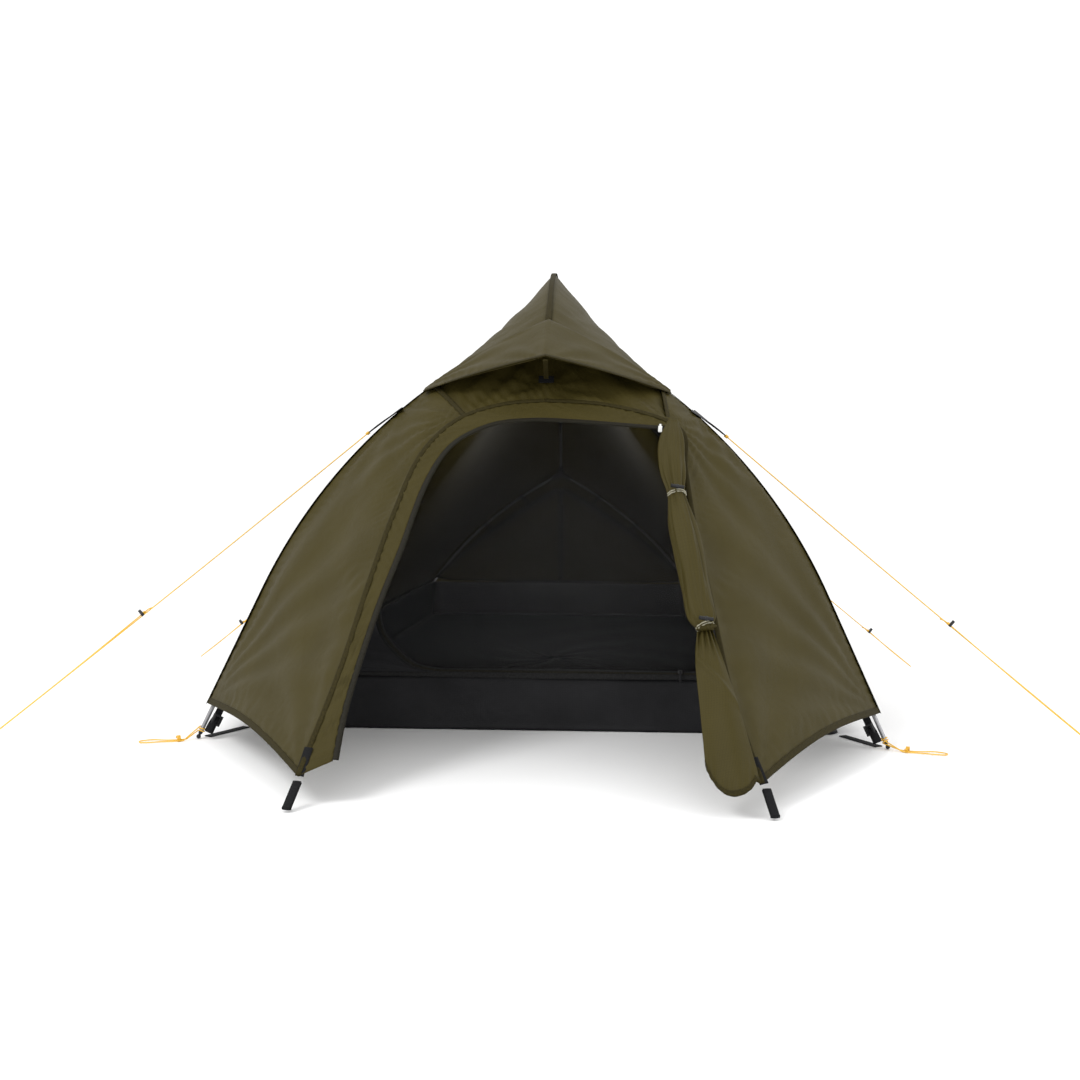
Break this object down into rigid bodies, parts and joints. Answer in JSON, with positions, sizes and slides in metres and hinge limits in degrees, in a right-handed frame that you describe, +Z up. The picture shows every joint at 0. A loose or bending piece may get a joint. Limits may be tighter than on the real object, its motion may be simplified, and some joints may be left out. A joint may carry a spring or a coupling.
{
  "type": "tent",
  "caption": "Low one-person trekking tent with an olive fly sheet over a hubbed pole frame, its door rolled up at the front, with yellow guy lines.",
  "frame": {"origin": "centre of the footprint on the ground", "axes": "+Z up, the door at the -Y end, the foot end at +Y"},
  "size_m": [2.2523, 3.0771, 1.0341],
  "materials": {
    "hub_plastic": "matt",
    "pole_metal": "satin anodised",
    "ferrule_metal": "satin",
    "shock_cord": "woven elastic",
    "tub_cloth": "coated nylon, slight sheen",
    "inner_mesh": "fine netting",
    "black_plastic": "moulded, matt",
    "webbing": "woven webbing",
    "zip_coil": "coil zip on woven tape",
    "fly_cloth": "ripstop nylon, slight sheen",
    "elastic": "braided elastic",
    "slider_metal": "satin",
    "pull_white": "moulded",
    "guy_cord": "braided cord"
  },
  "bodies": {
    "tent": {"front_hub": "hub_plastic", "rear_hub": "hub_plastic", "front_left_pole": "pole_metal", "front_right_pole": "pole_metal", "ridge_pole": "pole_metal", "rear_left_pole": "pole_metal", "rear_right_pole": "pole_metal", "pole_ferrules": "ferrule_metal", "shock_cords": "shock_cord", "pole_tips": "ferrule_metal", "inner_floor": "tub_cloth", "inner_front_wall": "inner_mesh", "inner_door": "inner_mesh", "inner_left_wall": "inner_mesh", "inner_right_wall": "inner_mesh", "inner_rear_wall": "inner_mesh", "inner_clips": "black_plastic", "inner_corner_tabs": "webbing", "inner_door_zip": "zip_coil", "fly_left_panel": "fly_cloth", "fly_right_panel": "fly_cloth", "fly_rear_panel": "fly_cloth", "fly_brow_panel": "fly_cloth", "vestibule_left_panel": "fly_cloth", "vestibule_right_panel": "fly_cloth", "door_band": "fly_cloth", "vent_hood": "fly_cloth", "vent_patch": "webbing", "rear_vent_hood": "fly_cloth", "rolled_door": "fly_cloth", "door_skirt": "fly_cloth", "toggle_loops": "elastic", "fly_zip": "zip_coil", "fly_corner_straps": "webbing", "fly_corner_buckles": "black_plastic", "guy_tabs": "webbing", "guy_front_left": "guy_cord", "guy_front_right": "guy_cord", "guy_side_left": "guy_cord", "guy_side_right": "guy_cord", "foot_loop_left": "guy_cord", "foot_loop_right": "guy_cord"},
    "tensioner_front_left": {"tensioner_front_left": "black_plastic"},
    "tensioner_front_right": {"tensioner_front_right": "black_plastic"},
    "tensioner_side_left": {"tensioner_side_left": "black_plastic"},
    "tensioner_side_right": {"tensioner_side_right": "black_plastic"},
    "peg_loop_left": {"peg_loop_left": "webbing"},
    "peg_loop_right": {"peg_loop_right": "webbing"},
    "peg_loop_rear": {"peg_loop_rear": "webbing"},
    "vent_prop": {"vent_prop": "webbing"},
    "zip_slider_left": {"zip_slider_left": "slider_metal"},
    "zip_pull_left": {"zip_pull_left": "pull_white"},
    "zip_slider_right": {"zip_slider_right": "slider_metal"},
    "zip_pull_right": {"zip_pull_right": "pull_white"},
    "inner_zip_slider": {"inner_zip_slider": "black_plastic"},
    "inner_zip_pull": {"inner_zip_pull": "black_plastic"},
    "upper_toggle": {"upper_toggle": "black_plastic"},
    "lower_toggle": {"lower_toggle": "black_plastic"}
  },
  "joints": [
    {"name": "tensioner_front_left_slide", "type": "slide", "parent": "tent", "child": "tensioner_front_left", "axis": [0.7459, 0.2214, 0.6282], "range_m": [0, 0.12]},
    {"name": "tensioner_front_right_slide", "type": "slide", "parent": "tent", "child": "tensioner_front_right", "axis": [-0.7459, 0.2214, 0.6282], "range_m": [0, 0.12]},
    {"name": "tensioner_side_left_slide", "type": "slide", "parent": "tent", "child": "tensioner_side_left", "axis": [0.7716, 0.0563, 0.6336], "range_m": [0, 0.12]},
    {"name": "tensioner_side_right_slide", "type": "slide", "parent": "tent", "child": "tensioner_side_right", "axis": [-0.7716, 0.0563, 0.6336], "range_m": [0, 0.12]},
    {"name": "peg_loop_left_hinge", "type": "hinge", "parent": "tent", "child": "peg_loop_left", "pos_m": [-0.394, -1.494, 0.042], "axis": [0.9674, -0.2534, 0], "range_deg": [-60, 0]},
    {"name": "peg_loop_right_hinge", "type": "hinge", "parent": "tent", "child": "peg_loop_right", "pos_m": [0.394, -1.494, 0.042], "axis": [0.9674, 0.2534, 0], "range_deg": [-60, 0]},
    {"name": "peg_loop_rear_hinge", "type": "hinge", "parent": "tent", "child": "peg_loop_rear", "pos_m": [0, 1.442, 0.042], "axis": [-1, 0, 0], "range_deg": [-60, 0]},
    {"name": "vent_prop_hinge", "type": "hinge", "parent": "tent", "child": "vent_prop", "pos_m": [0, -0.874, 0.782], "axis": [1, 0, 0], "range_deg": [0, 36]},
    {"name": "zip_slider_left_slide", "type": "slide", "parent": "tent", "child": "zip_slider_left", "axis": [-0.9976, 0.0501, 0.0486], "range_m": [0, 0.1]},
    {"name": "zip_pull_left_hinge", "type": "hinge", "parent": "zip_slider_left", "child": "zip_pull_left", "pos_m": [0.238, -0.87973, 0.65107], "axis": [0.9976, -0.0501, -0.0486], "range_deg": [-140, 0]},
    {"name": "zip_slider_right_slide", "type": "slide", "parent": "tent", "child": "zip_slider_right", "axis": [-0.9976, 0.0501, 0.0486], "range_m": [0, 0.1]},
    {"name": "zip_pull_right_hinge", "type": "hinge", "parent": "zip_slider_right", "child": "zip_pull_right", "pos_m": [0.251, -0.88067, 0.65016], "axis": [0.9976, -0.0501, -0.0486], "range_deg": [-140, 0]},
    {"name": "inner_zip_slider_slide", "type": "slide", "parent": "tent", "child": "inner_zip_slider", "axis": [-1, 0, 0], "range_m": [0, 0.4]},
    {"name": "inner_zip_pull_hinge", "type": "hinge", "parent": "inner_zip_slider", "child": "inner_zip_pull", "pos_m": [0.29, -0.82861, 0.13178], "axis": [1, 0, 0], "range_deg": [-140, 0]},
    {"name": "upper_toggle_swivel", "type": "hinge", "parent": "tent", "child": "upper_toggle", "pos_m": [0.26357, -1.06997, 0.53162], "axis": [0, -0.6966, 0.7175], "range_deg": [-60, 60]},
    {"name": "lower_toggle_swivel", "type": "hinge", "parent": "tent", "child": "lower_toggle", "pos_m": [0.30425, -1.30481, 0.30441], "axis": [0, -0.6966, 0.7175], "range_deg": [-60, 60]}
  ],
  "couplings": [
    {"joint": "zip_slider_left_slide", "follows": "zip_slider_right_slide", "ratio": 1}
  ]
}
